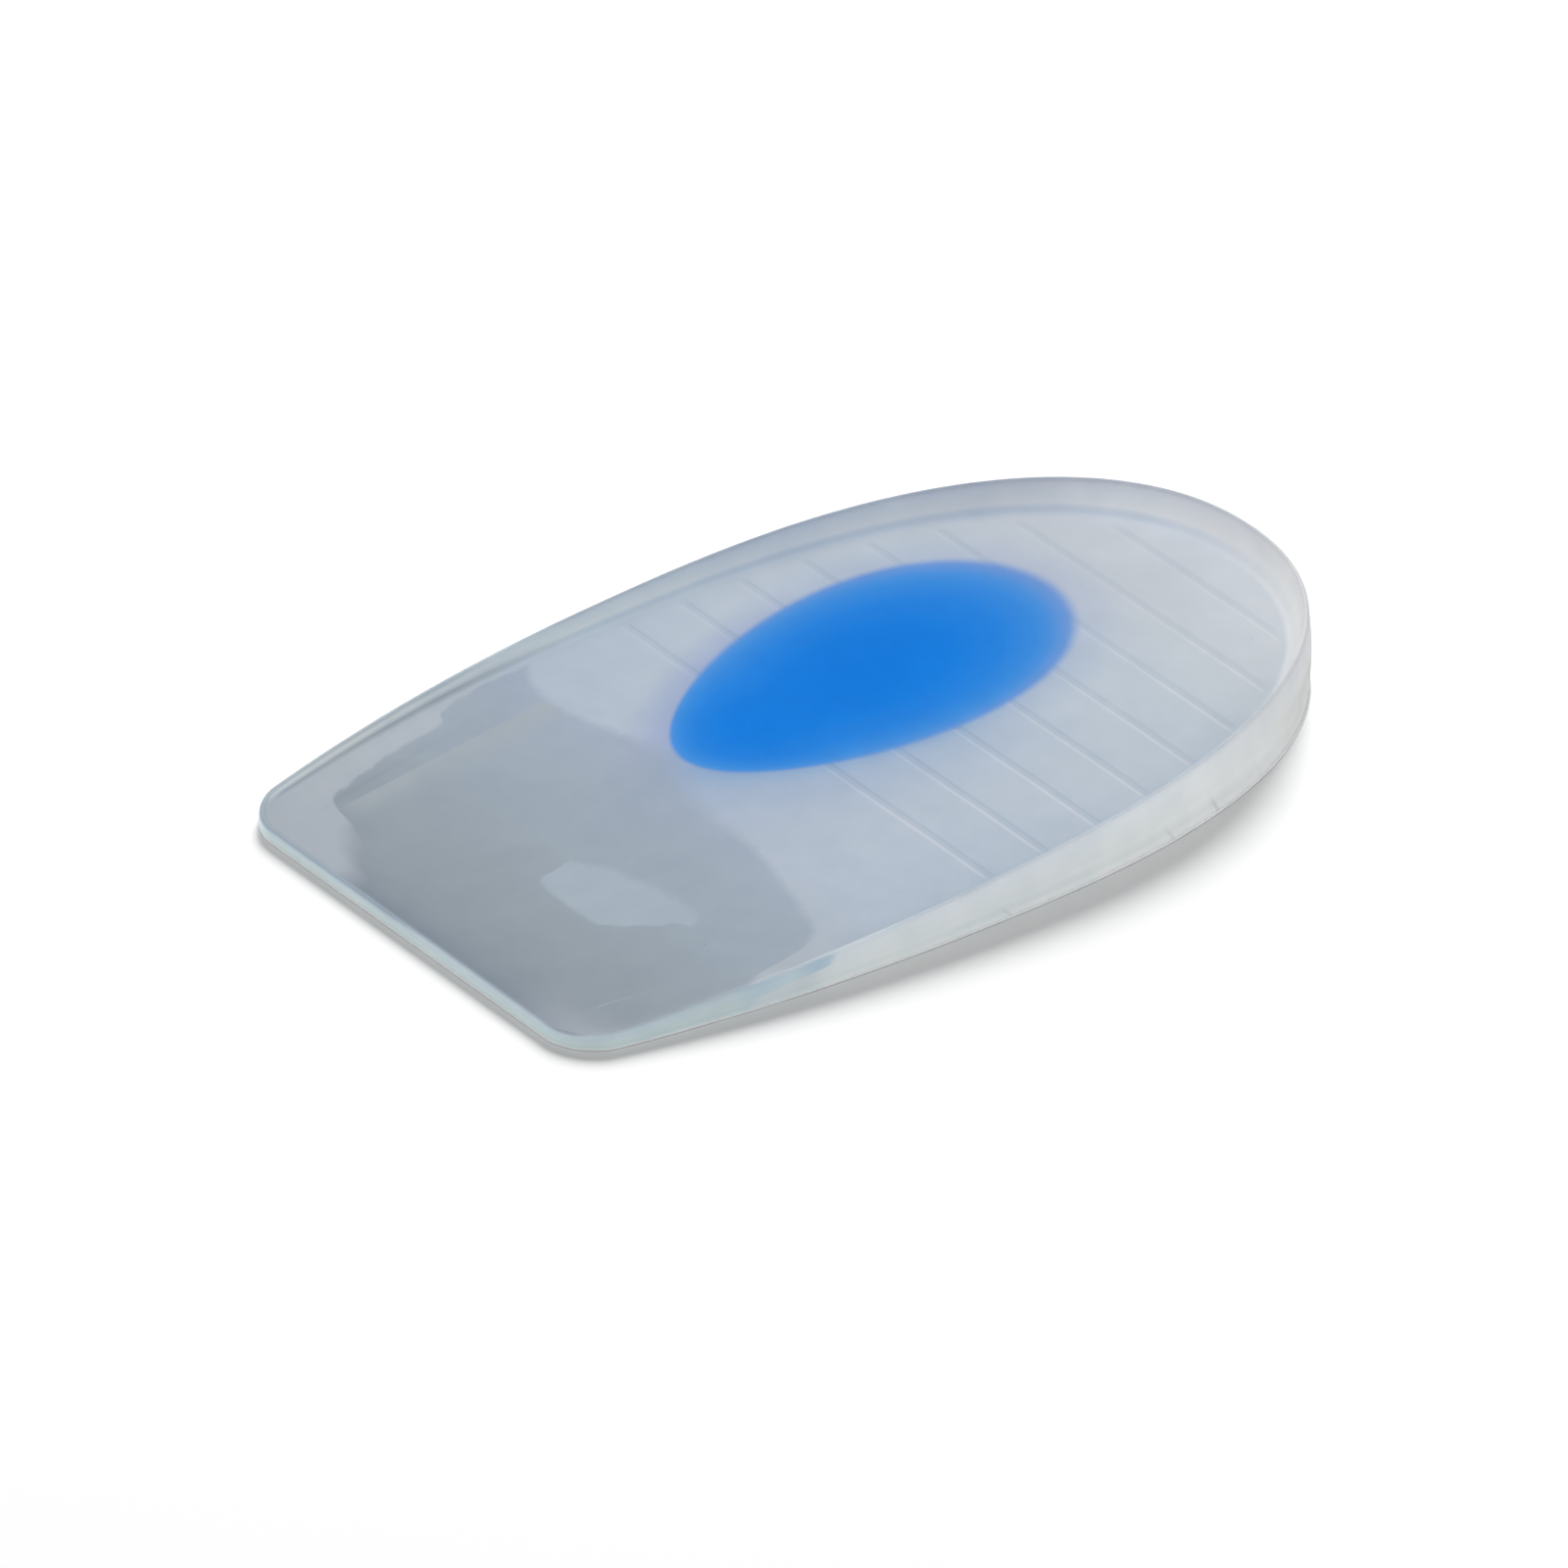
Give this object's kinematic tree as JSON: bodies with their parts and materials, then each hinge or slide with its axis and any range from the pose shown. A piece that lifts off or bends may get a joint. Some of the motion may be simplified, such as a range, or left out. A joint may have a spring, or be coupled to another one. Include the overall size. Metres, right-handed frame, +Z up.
{
  "type": "heel cup",
  "caption": "Translucent silicone gel heel cup for one shoe, wedge shaped with a low rim round the heel and a softer blue gel spot under it.",
  "frame": {"origin": "on the table, under the middle of the cup's length and width", "axes": "+Z up, +Y towards the back of the heel, +X towards the outer side of the left foot"},
  "size_m": [0.0658, 0.1054, 0.0092],
  "materials": {
    "milky_gel": "satin, milky and slightly see-through",
    "blue_gel": "satin"
  },
  "bodies": {
    "root": {"cup_body": "milky_gel", "soft_spot": "blue_gel"}
  },
  "joints": []
}
